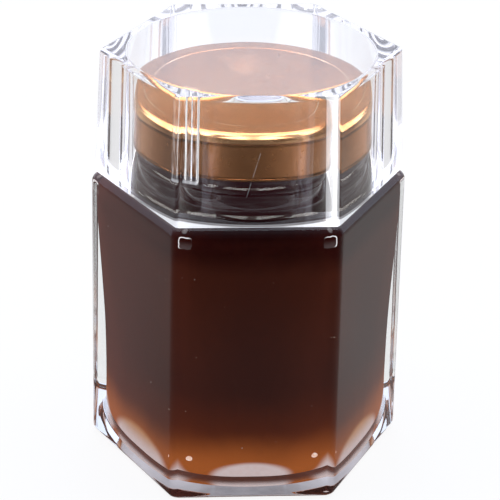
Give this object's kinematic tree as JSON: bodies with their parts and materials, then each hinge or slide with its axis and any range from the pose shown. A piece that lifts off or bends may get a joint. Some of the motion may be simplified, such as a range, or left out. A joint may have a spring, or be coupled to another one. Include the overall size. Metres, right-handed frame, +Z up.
{
  "type": "honey jar",
  "caption": "Six-sided clear glass jar full of dark honey, with a gold metal screw lid under a clear plastic cover that stands on the shoulder.",
  "frame": {"origin": "middle of the base, on the surface that the jar stands on", "axes": "+Z up along the jar's axis; one flat side faces -Y and one upright edge points to +X"},
  "size_m": [0.0816, 0.0714, 0.1098],
  "materials": {
    "clear_glass": "clear polished glass",
    "dark_honey": "dark amber-brown honey, thick and clear only near its edges",
    "gold_metal": "satin gold lacquer on tinplate",
    "clear_plastic": "clear glossy moulded plastic with a faint violet tint"
  },
  "bodies": {
    "root": {"glass_jar": "clear_glass", "honey": "dark_honey", "gold_lid": "gold_metal", "clear_cover": "clear_plastic"}
  },
  "joints": []
}
